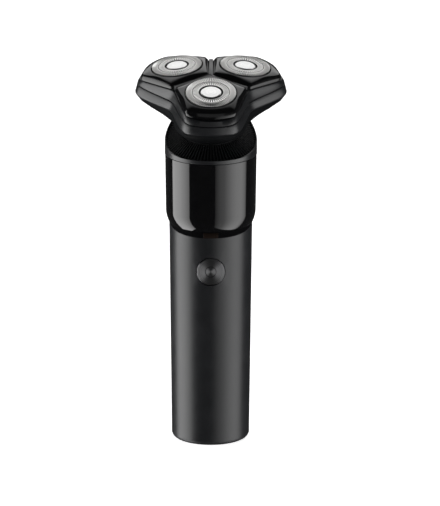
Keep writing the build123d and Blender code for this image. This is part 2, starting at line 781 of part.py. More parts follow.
# Lower shell of the head: three-lobed band, an underside that runs into the round bowl, and the gear chamber
planet_tip = gear_module * (planet_teeth / 2 + 0.85)
with BuildPart() as head_base:
    band_top = frame_bottom - seam
    upper = head_outline(band_top, frame_flare)
    lower = head_outline(base_band_bottom, base_flare)
    edge = head_outline(base_band_bottom - base_edge, base_flare - base_edge)
    loft([upper, lower, edge, divided_circle(edge, bowl_top, bowl_top_radius)], ruled=True)
    with BuildSketch(head_section) as bowl:
        with BuildLine():
            waist = (seat_radius + (bowl_top_radius - seat_radius) * 0.68, (bowl_top + seat_height) / 2)
            ThreePointArc((bowl_top_radius, bowl_top), waist, (seat_radius, seat_height))
            Polyline((seat_radius, seat_height), (0, seat_height), (0, bowl_top), (bowl_top_radius, bowl_top))
        make_face()
    revolve(axis=head_axis)
    gear_pit = gear_floor - slide_fit
    with BuildSketch(head_plane.offset(band_top)) as chamber:
        Circle(gear_distance)
        with PolarLocations(gear_distance, 3, start_angle=lobe_angles[0]):
            Circle(planet_tip + 0.6)
    extrude(amount=gear_pit - band_top, mode=Mode.SUBTRACT)
    with BuildSketch(head_plane.offset(gear_pit)) as posts:
        with PolarLocations(gear_distance, 3, start_angle=lobe_angles[0]):
            Circle(post_radius)
    extrude(amount=gear_thickness + slide_fit)
    with BuildSketch(head_plane.offset(gear_pit)) as screw_posts:
        with PolarLocations(deck_screw_radius, 3, start_angle=lobe_angles[0] + 60):
            Circle(deck_screw_inset + 0.5)
    extrude(amount=deck_bottom - seam / 3 - gear_pit)
    with BuildSketch(head_plane.offset(deck_bottom)) as screw_holes:
        with PolarLocations(deck_screw_radius, 3, start_angle=lobe_angles[0] + 60):
            Circle(1.0 + press_fit)
    extrude(amount=-5, mode=Mode.SUBTRACT)
    with BuildSketch(head_plane.offset(gear_pit)) as stem_bore:
        Circle(sun_stem_radius + slide_fit)
    extrude(amount=seat_height - gear_pit, mode=Mode.SUBTRACT)
    with BuildSketch(head_plane.offset(seat_height)) as spigot_socket:
        Circle(spigot_radius + slide_fit)
    extrude(amount=spigot_top + slide_fit - seat_height, mode=Mode.SUBTRACT)
save(head_base.part, "head_base")

# Deck over the gears, with its screws, and the plate that holds the guards up from below
with BuildPart() as gear_deck:
    with BuildSketch(head_plane.offset(deck_bottom)) as deck_face:
        Circle(gear_distance - slide_fit)
        with PolarLocations(gear_distance, 3, start_angle=lobe_angles[0]):
            Circle(planet_tip + 0.6 - slide_fit)
        with PolarLocations(gear_distance, 3, start_angle=lobe_angles[0]):
            Circle(spindle_radius + slide_fit, mode=Mode.SUBTRACT)
        with PolarLocations(deck_screw_radius, 3, start_angle=lobe_angles[0] + 60):
            Circle(1.0 + running_fit, mode=Mode.SUBTRACT)
    extrude(amount=deck_thickness)
save(gear_deck.part, "gear_deck")

with BuildPart() as deck_screws:
    with BuildSketch(head_plane.offset(deck_top + press_fit)) as deck_heads:
        with PolarLocations(deck_screw_radius, 3, start_angle=lobe_angles[0] + 60):
            Circle(1.9)
    extrude(amount=0.5)
    with BuildSketch(head_plane.offset(deck_top + press_fit)) as deck_shanks:
        with PolarLocations(deck_screw_radius, 3, start_angle=lobe_angles[0] + 60):
            Circle(1.0)
    extrude(amount=-4.5)
save(deck_screws.part, "deck_screws")

# Upper shell of the head: the band above the seam, cut off along three sloping planes,
# with a pocket for each guard
with BuildPart() as head_frame:
    frame_top = 1.0
    frame_shrink = frame_flare_slope * (frame_top - frame_bottom)
    brim = head_outline(frame_bottom, frame_flare)
    loft([brim, head_outline(frame_top, frame_flare - frame_shrink)], ruled=True)
    cut_plane = pod_plane.offset(-cover_bottom - cover_seam)
    with BuildSketch(cut_plane) as cut_face:
        Rectangle(4 * lobe_reach, 4 * lobe_reach)
    above = extrude(amount=lobe_reach, mode=Mode.PRIVATE)
    add(on_pods(above), mode=Mode.SUBTRACT)
    ridge = pod_radius * tan(tilt) - (cover_bottom + cover_seam) / cos(tilt)
    web_end = lobe_notch_radius - web_setback
    web_slope = tan(tilt) / 2
    web_face = section(
        head_side,
        (-1.0, -5),
        (web_end, -5),
        (web_end, ridge - web_slope * web_end + web_rise),
        (0, ridge + web_rise),
        (-1.0, ridge + web_rise),
    )
    web = extrude(web_face, amount=cover_gap_half - slide_fit - 0.1, both=True, mode=Mode.PRIVATE)
    add(on_pods(web))
    with BuildSketch(pod_plane.offset(-cover_bottom)) as pocket_face:
        Circle(pocket_radius)
    pocket = extrude(amount=-lobe_reach, mode=Mode.PRIVATE)
    add(on_pods(pocket), mode=Mode.SUBTRACT)
save(head_frame.part, "head_frame")

plate_bottom = frame_bottom - seam / 3 - plate_thickness
hub_window = hub_radius + 3.3
with BuildPart() as retaining_plate:
    with BuildSketch(head_plane.offset(plate_bottom)) as plate_face:
        Circle(gear_distance - slide_fit)
        with PolarLocations(gear_distance - 0.6, 3, start_angle=lobe_angles[0]):
            Circle(pocket_radius - 0.9)
        with PolarLocations(gear_distance - 0.4, 3, start_angle=lobe_angles[0]):
            Circle(hub_window, mode=Mode.SUBTRACT)
        with PolarLocations(deck_screw_radius, 3, start_angle=lobe_angles[0] + 60):
            Circle(2.4, mode=Mode.SUBTRACT)
    extrude(amount=plate_thickness)
save(retaining_plate.part, "retaining_plate")

# Cover of each lobe: a five-sided skirt that runs up into the round bezel
with BuildPart() as lobe_cover:
    foot = cover_outline(cover_bottom, -cover_flare)
    brow = cover_outline(cover_skirt_top, 0.2)
    loft([foot, brow], ruled=True)
    with BuildSketch(pod_plane.offset(-cover_land)) as land:
        Circle(bezel_radius + bezel_width)
    loft([brow, land.sketch.face()], ruled=True)
    with BuildSketch(pod_plane) as bezel:
        Circle(bezel_radius)
    extrude(amount=-2 * cover_bottom, mode=Mode.SUBTRACT)
    with BuildSketch(pod_plane.offset(-cover_seat)) as flange_seat:
        Circle(pocket_radius)
    extrude(amount=-cover_bottom, mode=Mode.SUBTRACT)
for lobe, part in zip(lobe_names, on_pods(lobe_cover.part)):
    save(part, f"lobe_cover_{lobe}")

# Shaving guard: a drawn steel cup with two slotted tracks, a groove between them and a flange under the cover
with BuildPart() as guard:
    flange_radius = guard_radius + guard_flange
    flange_low = guard_flange_top + guard_flange_height
    groove_half = 0.18
    groove_depth = 0.25
    floor = 0.5
    profile = section(
        pod_section,
        (0, -floor - guard_sheet),
        (cap_ring_radius + guard_sheet, -floor - guard_sheet),
        (cap_ring_radius + guard_sheet, -guard_sheet),
        (guard_radius - guard_sheet, -guard_sheet),
        (guard_radius - guard_sheet, -flange_low),
        (flange_radius, -flange_low),
        (flange_radius, -guard_flange_top),
        (guard_radius, -guard_flange_top),
        (guard_radius, -0.55),
        (guard_radius - 0.2, -0.16),
        (guard_radius - 0.6, 0),
        (track_groove_radius + groove_half, 0),
        (track_groove_radius + groove_half, -groove_depth),
        (track_groove_radius - groove_half, -groove_depth),
        (track_groove_radius - groove_half, 0),
        (cap_ring_radius + 0.2, 0),
        (cap_ring_radius, -0.2),
        (cap_ring_radius, -floor),
        (0, -floor),
    )
    revolve(profile, axis=pod_axis)
    inner_from = cap_ring_radius + guard_sheet + 0.15
    inner_to = track_groove_radius - groove_half - 0.15
    outer_from = track_groove_radius + groove_half + 0.2
    outer_to = guard_radius - guard_sheet - 0.1
    for count, low, high in ((inner_slots, inner_from, inner_to), (outer_slots, outer_from, outer_to)):
        with BuildSketch(pod_plane.offset(0.1)) as slots:
            with PolarLocations((low + high) / 2, count):
                Rectangle(high - low, slot_width)
        extrude(amount=-guard_sheet - 0.2, mode=Mode.SUBTRACT)
for lobe, part in zip(lobe_names, on_pods(guard.part)):
    save(part, f"guard_{lobe}")

with BuildPart() as guard_cap:
    profile = section(
        pod_section,
        (0, -floor + press_fit),
        (cap_radius, -floor + press_fit),
        (cap_radius, -0.05),
        (cap_radius - 0.4, 0.15),
        (0, 0.25),
    )
    revolve(profile, axis=pod_axis)
for lobe, part in zip(lobe_names, on_pods(guard_cap.part)):
    save(part, f"guard_cap_{lobe}")

# Cutter: two rows of raked blades on a steel ring, on a hub with a loose hexagonal socket for the spindle
ring_top = 1.9
ring_thickness = 0.5
with BuildPart() as cutter_blades:
    with BuildSketch(pod_plane.offset(-ring_top)) as ring_face:
        Circle(guard_radius - guard_sheet - slide_fit)
        Circle(hub_radius + press_fit, mode=Mode.SUBTRACT)
    extrude(amount=-ring_thickness)
    blade_height = ring_top - guard_sheet - 0.15
    for low, high in ((inner_from + 0.2, inner_to - 0.1), (outer_from, outer_to - 0.3)):
        with BuildSketch(pod_plane.offset(-ring_top - 0.1)) as blade_feet:
            with PolarLocations((low + high) / 2, blade_count):
                Rectangle(high - low, blade_thickness)
        extrude(amount=blade_height + 0.1)
for lobe, part in zip(lobe_names, on_pods(cutter_blades.part)):
    save(part, f"cutter_blades_{lobe}")

with BuildPart() as cutter_hub:
    with BuildSketch(pod_plane.offset(-hub_top)) as hub_face:
        Circle(hub_radius)
    extrude(amount=-(hub_bottom - hub_top))
    with BuildSketch(pod_plane.offset(-ring_top - ring_thickness - press_fit)) as collar_face:
        Circle(hub_radius + 1.2)
    extrude(amount=-0.8)
    with BuildSketch(pod_plane.offset(-hub_ceiling)) as socket_face:
        RegularPolygon(socket_flats / 2, 6, major_radius=False)
    extrude(amount=-(hub_bottom - hub_ceiling), mode=Mode.SUBTRACT)
for lobe, part in zip(lobe_names, on_pods(cutter_hub.part)):
    save(part, f"cutter_hub_{lobe}")

# Gears: the sun with its stem and socket, and a planet, spindle and spring for each lobe
with BuildPart() as sun_gear:
    extrude(gear_outline(head_plane.offset(gear_top), sun_teeth, lobe_angles[0]), amount=-gear_thickness)
    stem_end = seat_height
    with BuildSketch(head_plane.offset(gear_floor)) as stem:
        Circle(gear_module * (sun_teeth / 2 - 1.2))
    extrude(amount=-slide_fit * 1.5)
    with BuildSketch(head_plane.offset(gear_floor - slide_fit * 1.5)) as lower_stem:
        Circle(min(sun_stem_radius, gear_module * (sun_teeth / 2 - 1.2)))
    extrude(amount=stem_end - gear_floor + slide_fit * 1.5)
    with BuildSketch(head_plane.offset(stem_end)) as bit_socket:
        RegularPolygon(drive_bit_flats / 2 + drive_play, 6, major_radius=False)
    extrude(amount=-head_reach + drive_bit_height / 2 + 1.0 - stem_end, mode=Mode.SUBTRACT)
save(sun_gear.part, "sun_gear")

planet_centre = head_origin - head_rear * gear_distance
planet_plane = Plane(origin=planet_centre, x_dir=(1, 0, 0), z_dir=head_up)
with BuildPart() as planet_gear:
    half_tooth = 180 / planet_teeth
    extrude(gear_outline(planet_plane.offset(gear_top), planet_teeth, 90 + half_tooth), amount=-gear_thickness)
    with BuildSketch(planet_plane.offset(gear_floor)) as planet_bore:
        Circle(post_radius + running_fit)
    extrude(amount=gear_thickness, mode=Mode.SUBTRACT)
for lobe, part in zip(lobe_names, on_pods(planet_gear.part)):
    save(part, f"planet_gear_{lobe}")

spring_low = deck_top + 0.9
with BuildPart() as spindle:
    with BuildSketch(planet_plane.offset(gear_top + press_fit)) as spindle_foot:
        Circle(spindle_radius)
    extrude(amount=spring_low - gear_top - press_fit)
    with BuildSketch(planet_plane.offset(spring_low - 0.5)) as spindle_flange:
        Circle(spindle_radius + 1.1)
    extrude(amount=0.5)
    with BuildSketch(planet_plane.offset(spring_low)) as spindle_neck:
        Circle(spindle_flats / 2 - 0.2)
    extrude(amount=-spindle_top - spring_low)
    with BuildSketch(planet_plane.offset(-spindle_top - spindle_head)) as spindle_hex:
        RegularPolygon(spindle_flats / 2, 6, major_radius=False)
    extrude(amount=spindle_head)
for lobe, part in zip(lobe_names, on_pods(spindle.part)):
    save(part, f"spindle_{lobe}")

with BuildPart() as spindle_spring:
    with BuildSketch(planet_plane.offset(spring_low + press_fit)) as spring_face:
        Circle(spindle_flats / 2 + 0.7)
        Circle(spindle_flats / 2 + 0.1, mode=Mode.SUBTRACT)
    extrude(amount=0.8)
for lobe, part in zip(lobe_names, on_pods(spindle_spring.part)):
    save(part, f"spindle_spring_{lobe}")
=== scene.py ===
import bmesh
import bpy
import json
from math import atan2, cos, pi, radians, sin
from mathutils import Matrix, Quaternion, Vector


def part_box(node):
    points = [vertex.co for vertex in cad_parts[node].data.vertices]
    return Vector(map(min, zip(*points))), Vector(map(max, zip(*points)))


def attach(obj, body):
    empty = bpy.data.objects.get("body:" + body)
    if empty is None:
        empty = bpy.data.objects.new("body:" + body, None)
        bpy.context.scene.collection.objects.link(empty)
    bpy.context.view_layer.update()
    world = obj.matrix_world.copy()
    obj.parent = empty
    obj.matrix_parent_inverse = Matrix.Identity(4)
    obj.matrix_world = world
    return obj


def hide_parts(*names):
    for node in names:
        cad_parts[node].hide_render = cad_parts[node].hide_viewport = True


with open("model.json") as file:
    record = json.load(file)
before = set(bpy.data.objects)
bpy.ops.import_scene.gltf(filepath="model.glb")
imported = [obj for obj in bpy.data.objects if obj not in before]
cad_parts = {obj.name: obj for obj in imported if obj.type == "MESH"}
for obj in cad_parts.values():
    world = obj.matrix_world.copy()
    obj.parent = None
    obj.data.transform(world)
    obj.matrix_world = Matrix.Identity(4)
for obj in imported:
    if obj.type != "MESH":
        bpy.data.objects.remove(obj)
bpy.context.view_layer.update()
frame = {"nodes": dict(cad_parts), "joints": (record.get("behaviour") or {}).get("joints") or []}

# Handle tube: a drawn tube that tapers a little to its foot, with a round hole for the button in front.
# It is sprayed with a satin black lacquer and slides over the inner frame.
nodes = frame["nodes"]
mottle_mm = 9
mottle_shares = (0.35, 0.7)
noise_low = 0.3
noise_high = 0.7
moulded_spread = 0.06


def linear(code):
    """An sRGB hex colour as linear RGBA."""
    channels = [int(code[i:i + 2], 16) / 255 for i in (1, 3, 5)]
    return [c / 12.92 if c <= 0.04045 else ((c + 0.055) / 1.055) ** 2.4 for c in channels] + [1.0]


def bare_material(name):
    """A new material with nothing in it yet."""
    material = bpy.data.materials.new(name)
    material.use_nodes = True
    material.node_tree.nodes.clear()
    return material


def add_node(owner, kind, settings=None, inputs=None, links=None):
    """Adds one node to a material or lamp: its settings, its sockets' values and what feeds them."""
    node = owner.node_tree.nodes.new(kind)
    for name, value in (settings or {}).items():
        setattr(node, name, value)
    for name, value in (inputs or {}).items():
        node.inputs[name].default_value = value
    for name, source in (links or {}).items():
        owner.node_tree.links.new(source, node.inputs[name])
    return node


def moulded(name, colour, worn, roughness, grain_mm, depth_mm, edge_mm=0.0, ior=1.5):
    """A plastic, rubber or lacquer: mottled colour, uneven gloss, a grained surface and softened edges."""
    material = bare_material(name)
    place = add_node(material, "ShaderNodeTexCoord")
    mottle = add_node(material, "ShaderNodeTexNoise", None, {"Scale": 1000 / mottle_mm, "Detail": 3.0},
                      {"Vector": place.outputs["Object"]})
    shade = add_node(material, "ShaderNodeValToRGB", None, None, {"Fac": mottle.outputs["Fac"]})
    for element, share, code in zip(shade.color_ramp.elements, mottle_shares, (colour, worn)):
        element.position = share
        element.color = linear(code)
    gloss = add_node(material, "ShaderNodeMapRange", None,
                     {"From Min": noise_low, "To Min": roughness * (1 - moulded_spread),
                      "From Max": noise_high, "To Max": roughness * (1 + moulded_spread)},
                     {"Value": mottle.outputs["Fac"]})
    grain = add_node(material, "ShaderNodeTexNoise", None, {"Scale": 1000 / grain_mm, "Detail": 2.0},
                     {"Vector": place.outputs["Object"]})
    bump = add_node(material, "ShaderNodeBump", None, {"Strength": 1.0, "Distance": depth_mm / 1000},
                    {"Height": grain.outputs["Fac"]})
    if edge_mm:
        soft_edge = add_node(material, "ShaderNodeBevel", {"samples": 8}, {"Radius": edge_mm / 1000})
        material.node_tree.links.new(soft_edge.outputs["Normal"], bump.inputs["Normal"])
    shader = add_node(material, "ShaderNodeBsdfPrincipled", None, {"IOR": ior},
                      {"Base Color": shade.outputs["Color"], "Roughness": gloss.outputs["Result"],
                       "Normal": bump.outputs["Normal"]})
    add_node(material, "ShaderNodeOutputMaterial", None, None, {"Surface": shader.outputs["BSDF"]})
    return material


def finish(names, material):
    """Gives CAD nodes a finish, in every one of their material slots."""
    for name in names:
        for slot in nodes[name].material_slots:
            slot.material = material


# Sprayed lacquer: half-gloss, with a peel of half a millimetre that spreads the lamps into soft stripes.
satin_lacquer = moulded("satin_lacquer_sprayed", "#131416", "#17181A", 0.34, 0.5, 0.004, ior=1.44)
finish(["handle_shell"], satin_lacquer)

# Base cap: an injection-moulded cap with a rounded edge, pressed into the foot of the tube.
# It is the same black as the tube, a little duller, and has the slot of the charging socket.
cap_plastic = moulded("satin_abs_moulded", "#131416", "#17181A", 0.4, 0.4, 0.003, 0.3)
finish(["base_cap"], cap_plastic)

# Charging socket: a shell drawn and folded from stainless steel, soldered to the foot of the board.
# Its tongue is moulded in black nylon.
metal_spread = 0.2
metal_relief = 0.000003


def metal(name, colour, roughness, grain_mm, stretch=(1.0, 1.0, 1.0)):
    """A bare metal whose fine grain breaks up its gloss. A stretched grain gives drawn or rolled lines."""
    material = bare_material(name)
    place = add_node(material, "ShaderNodeTexCoord")
    drawn = add_node(material, "ShaderNodeMapping", None, {"Scale": stretch},
                     {"Vector": place.outputs["Object"]})
    grain = add_node(material, "ShaderNodeTexNoise", None, {"Scale": 1000 / grain_mm, "Detail": 3.0},
                     {"Vector": drawn.outputs["Vector"]})
    gloss = add_node(material, "ShaderNodeMapRange", None,
                     {"From Min": noise_low, "To Min": roughness * (1 - metal_spread),
                      "From Max": noise_high, "To Max": roughness * (1 + metal_spread)},
                     {"Value": grain.outputs["Fac"]})
    bump = add_node(material, "ShaderNodeBump", None, {"Strength": 0.6, "Distance": metal_relief},
                    {"Height": grain.outputs["Fac"]})
    shader = add_node(material, "ShaderNodeBsdfPrincipled", None,
                      {"Base Color": linear(colour), "Metallic": 1.0},
                      {"Roughness": gloss.outputs["Result"], "Normal": bump.outputs["Normal"]})
    add_node(material, "ShaderNodeOutputMaterial", None, None, {"Surface": shader.outputs["BSDF"]})
    return material


# Drawn stainless steel: fine lines along the draw, which runs up the handle.
socket_steel = metal("stainless_steel_drawn", "#A9A9A8", 0.3, 0.3, (1.0, 1.0, 0.1))
finish(["usb_socket"], socket_steel)
# Nylon: dull black, with the faint grain of a spark-eroded mould. It also serves as painted shade in recesses
# of the button and the guards.
black_nylon_and_painted_shade = moulded("black_nylon_moulded_and_painted_shade", "#0E0E0F", "#131314", 0.5, 0.3, 0.003)
finish(["usb_tongue"], black_nylon_and_painted_shade)

# Circuit board: a laminate of glass cloth with a green mask over its copper, slid into the inner frame.
# It carries the chips, the small light behind the window and the switch behind the button.
track_pitch = 0.0012
track_relief = 0.00003
board_mask = bare_material("solder_mask_over_copper")
board_place = add_node(board_mask, "ShaderNodeTexCoord")
board_flat = add_node(board_mask, "ShaderNodeMapping", None, {"Rotation": (radians(90), 0, 0)},
                      {"Vector": board_place.outputs["Object"]})
# The tracks lie under the mask, so they show as paler bands of the same green.
board_tracks = add_node(board_mask, "ShaderNodeTexBrick", None,
                        {"Color1": linear("#0E4A2A"), "Color2": linear("#12552F"),
                         "Mortar": linear("#2E7A48"), "Scale": 1 / track_pitch, "Mortar Size": 0.06,
                         "Brick Width": 4.0, "Row Height": 0.5},
                        {"Vector": board_flat.outputs["Vector"]})
board_bump = add_node(board_mask, "ShaderNodeBump", None, {"Strength": 0.5, "Distance": track_relief},
                      {"Height": board_tracks.outputs["Fac"]})
board_shader = add_node(board_mask, "ShaderNodeBsdfPrincipled", None, {"Roughness": 0.3},
                        {"Base Color": board_tracks.outputs["Color"],
                         "Normal": board_bump.outputs["Normal"]})
add_node(board_mask, "ShaderNodeOutputMaterial", None, None, {"Surface": board_shader.outputs["BSDF"]})
finish(["main_board"], board_mask)
# Moulded epoxy of the chips: matt black with a fine grain.
chip_epoxy = moulded("epoxy_moulded", "#141414", "#1B1B1B", 0.6, 0.2, 0.004)
finish(["board_chips", "tact_switch"], chip_epoxy)
# Cast resin of the light: milky and half-gloss.
led_resin = moulded("clear_resin_cast", "#E4E0D6", "#ECE9E0", 0.3, 0.5, 0.002)
finish(["indicator_led"], led_resin)

# Seals: rings moulded in silicone rubber, squeezed behind the button, under the collar and round the shaft.
# Rubber stays dull and shows almost no grain.
seal_rubber = moulded("silicone_rubber_moulded", "#0B0B0C", "#101011", 0.7, 0.6, 0.003, ior=1.4)
finish(["button_gasket", "collar_seal", "shaft_seal"], seal_rubber)

# Cell: a rechargeable cylinder in a shrunk plastic sleeve, with a nickel strip welded to each end.
# It lies in the cradle of the inner frame behind the board.
cell_sleeve = moulded("shrink_sleeve_film", "#2F5E8C", "#376896", 0.35, 1.2, 0.006)
finish(["battery_cell"], cell_sleeve)
# Rolled nickel strip: bright, with fine lines along the strip.
nickel_strip = metal("nickel_strip_rolled", "#C3BEB2", 0.3, 0.3, (1.0, 1.0, 0.1))
finish(["battery_tabs"], nickel_strip)

# Inner frame: a nylon moulding that holds board and cell, stands on the base cap and has posts to the motor.
# Short zinc-plated screws hold it and the motor.
grey_nylon = moulded("grey_nylon_moulded", "#3A3C3F", "#424447", 0.5, 0.4, 0.004)
finish(["chassis", "motor_mount"], grey_nylon)
# Zinc plate: pale and slightly clouded.
zinc_plate = metal("zinc_plated_steel", "#B4B6B6", 0.35, 0.6)
finish(["chassis_screws", "motor_screws", "deck_screws"], zinc_plate)

# Motor: a can deep-drawn from nickel-plated steel, screwed under its mount, with a stacked iron rotor.
# Its ground shaft carries the hexagonal bit that drives the head.
motor_plate = metal("nickel_plated_steel_drawn", "#B9B6AE", 0.28, 0.5, (1.0, 1.0, 0.2))
finish(["motor"], motor_plate)
# Stamped iron sheets in a stack: dark, with lines across the axis.
rotor_iron = metal("iron_sheet_stacked", "#6E6C69", 0.45, 0.3, (0.1, 0.1, 1.0))
finish(["motor_rotor"], rotor_iron)
# Ground steel: fine bright lines round the shaft.
ground_steel = metal("tool_steel_ground", "#A3A4A6", 0.25, 0.2, (0.2, 0.2, 1.0))
finish(["motor_shaft", "drive_bit"], ground_steel)

# Gloss collar: a sleeve injection-moulded in black plastic with a polished mould, slid over the tube's top.
# Its lower lip rolls in to the tube. In front a matt crescent hangs below it, and the rest of its foot is
# lacquered with the tube.
collar_low, collar_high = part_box("gloss_collar")
window_low, window_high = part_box("indicator_window")
window_proud = 0.00003
collar_bore = 0.01785
collar_top_radius = collar_high[0]
collar_chamfer = 0.0002
collar_steps = 160
lip_radius = 0.0204
lip_height = 0.0085
lip_curve = 0.01325
lip_steps = 10
foot_radius = -window_low[1] - window_proud
foot_bore = 0.01838
foot_height = 0.0023
bore_step_height = 0.0059
crescent_dip = 0.0008
crescent_rise = 0.0042
crescent_power = 1.6
least_band = 0.00002
same_place = 0.00001
weld = 0.000001


def lathe(profile, steps, closed=True):
    """A profile of (radius, height) points turned about the Z axis, as a bmesh."""
    turning = bmesh.new()
    points = [turning.verts.new((radius, 0, height)) for radius, height in profile]
    lines = [turning.edges.new(pair) for pair in zip(points, points[1:])]
    if closed:
        lines.append(turning.edges.new((points[-1], points[0])))
    bmesh.ops.spin(turning, geom=points + lines, cent=(0, 0, 0), axis=(0, 0, 1), angle=2 * pi, steps=steps,
                   use_merge=True)
    bmesh.ops.remove_doubles(turning, verts=turning.verts, dist=weld)
    bmesh.ops.recalc_face_normals(turning, faces=turning.faces)
    return turning


def show(name, shape, materials, body, slot, *replaced, smooth_below=40):
    """Puts a finished bmesh into the scene on its body, in place of CAD nodes."""
    mesh = bpy.data.meshes.new(name)
    for face in shape.faces:
        face.smooth = True
    shape.to_mesh(mesh)
    shape.free()
    mesh.set_sharp_from_angle(angle=radians(smooth_below))
    for material in materials:
        mesh.materials.append(material)
    piece = bpy.data.objects.new(name, mesh)
    bpy.context.scene.collection.objects.link(piece)
    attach(piece, body)
    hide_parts(*replaced)
    return piece


foot_top = collar_low[2] + foot_height
lip_top = collar_low[2] + lip_height
bore_step = collar_low[2] + bore_step_height
crescent_row = collar_low[2] + foot_height / 2
collar_profile = [(foot_bore, collar_low[2]), (foot_radius, collar_low[2]), (foot_radius, crescent_row),
                  (foot_radius, foot_top)]
for step in range(lip_steps + 1):
    height = foot_top + (lip_top - foot_top) * step / lip_steps
    bulge = (lip_curve ** 2 - (lip_top - height) ** 2) ** 0.5
    collar_profile.append((lip_radius - lip_curve + bulge, height))
collar_profile += [(collar_top_radius, collar_high[2] - collar_chamfer),
                   (collar_top_radius - collar_chamfer, collar_high[2]),
                   (collar_bore, collar_high[2]), (collar_bore, bore_step), (foot_bore, bore_step)]
collar = lathe(collar_profile, collar_steps)
for face in collar.faces:
    height = face.calc_center_median().z
    face.material_index = 0 if height > foot_top else 1 if height > crescent_row else 2
# The crescent's lower edge is lowest in front and climbs to the lip at the sides.
for vert in collar.verts:
    if abs(vert.co.xy.length - foot_radius) < same_place:
        from_front = max(1 + vert.co.y / foot_radius, 0)
        edge = collar_low[2] - crescent_dip + crescent_rise * from_front ** crescent_power
        if abs(vert.co.z - crescent_row) < same_place:
            vert.co.z = min(edge, foot_top - least_band)
        elif vert.co.z < crescent_row:
            vert.co.z = min(edge - least_band, collar_low[2])
# Polished mould: a mirror black, in which the lamps stand as clear stripes.
gloss_abs = moulded("gloss_abs_moulded", "#050506", "#070708", 0.06, 3.0, 0.0004)
# Matt foot: a soft black that gives back almost no light.
foot_matt = moulded("soft_touch_foot_moulded", "#070708", "#09090A", 0.6, 0.4, 0.002, ior=1.05)
show("gloss_sleeve", collar, [gloss_abs, foot_matt, satin_lacquer], "handle", "gloss_black", "gloss_collar")

# Indicator window: a small pane moulded in smoked acrylic, snapped into the crescent from inside.
# The light on the board shines through it.
window_radius = foot_radius + window_proud
window_half_turn = (window_high[0] - window_low[0]) / 2 / foot_radius
window_margin = 0.00005
window_height = 0.0017
window_steps = 16
pane_thickness = 0.0005
pane = bmesh.new()
pane_side = (-window_radius * sin(window_half_turn), -window_radius * cos(window_half_turn))
pane_points = [pane.verts.new((*pane_side, height))
               for height in (collar_low[2] - crescent_dip + window_margin, collar_low[2] + window_height)]
pane_edge = pane.edges.new(pane_points)
bmesh.ops.spin(pane, geom=pane_points + [pane_edge], cent=(0, 0, 0), axis=(0, 0, 1),
               angle=2 * window_half_turn, steps=window_steps, use_merge=False)
bmesh.ops.recalc_face_normals(pane, faces=pane.faces)
if sum(face.normal.y for face in pane.faces) > 0:
    bmesh.ops.reverse_faces(pane, faces=pane.faces)
# Smoked acrylic: almost black until the light behind it is on, with a trace of dark red.
smoked_acrylic = moulded("smoked_acrylic_moulded", "#140E0B", "#17110D", 0.5, 2.0, 0.0005, ior=1.1)
window = show("smoked_window", pane, [smoked_acrylic], "handle", "window_smoke", "indicator_window")
pane_wall = window.modifiers.new("pane", "SOLIDIFY")
pane_wall.thickness = pane_thickness
pane_wall.offset = -1.0

# Shoulder rim: a thin ring round the shoulder, low in front and sweeping up to the rear.
# It is moulded with a satin surface and snaps on to the collar.
rim_satin = moulded("satin_abs_ring_moulded", "#111214", "#141517", 0.3, 0.5, 0.002, 0.3)
finish(["shoulder_rim"], rim_satin)

# Ribbed shoulder: a shallow cone of fine ribs under the head, moulded in one piece with the boss.
# Its black is matt, so that only the rims of the ribs catch light.
rib_matt = moulded("matt_abs_moulded", "#141516", "#171819", 0.6, 0.4, 0.002, ior=1.22)
finish(["ribbed_shoulder"], rib_matt)

# Neck: a spigot that the head is pushed on to, with a spring ring that clicks into it.
# The spigot is nylon and the ring is bent from spring wire.
finish(["neck_spigot"], black_nylon_and_painted_shade)
# Drawn spring wire: bright, with lines round the ring.
spring_wire = metal("spring_steel_wire_drawn", "#A8A9AB", 0.3, 0.2, (0.2, 0.2, 1.0))
finish(["detent_ring"], spring_wire)

# Power button: a disc turned from aluminium, with a small dimple in the middle, then anodised black.
# It slides in its hole against the plunger of the switch, which is nylon.
joints = {joint["name"]: joint for joint in frame["joints"]}
button_low, button_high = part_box("power_button")
button_centre = (Vector(button_low) + Vector(button_high)) / 2
button_radius = (button_high[0] - button_low[0]) / 2
button_length = button_high[1] - button_low[1]
button_edge = 0.00025
button_steps = 96
dimple_radius = 0.0023
dimple_depth = 0.00025
dimple_edge = 0.00004
groove_outer = dimple_radius + 0.0003
groove_sink = 0.0003
ring_shares = (0.3, 0.6)


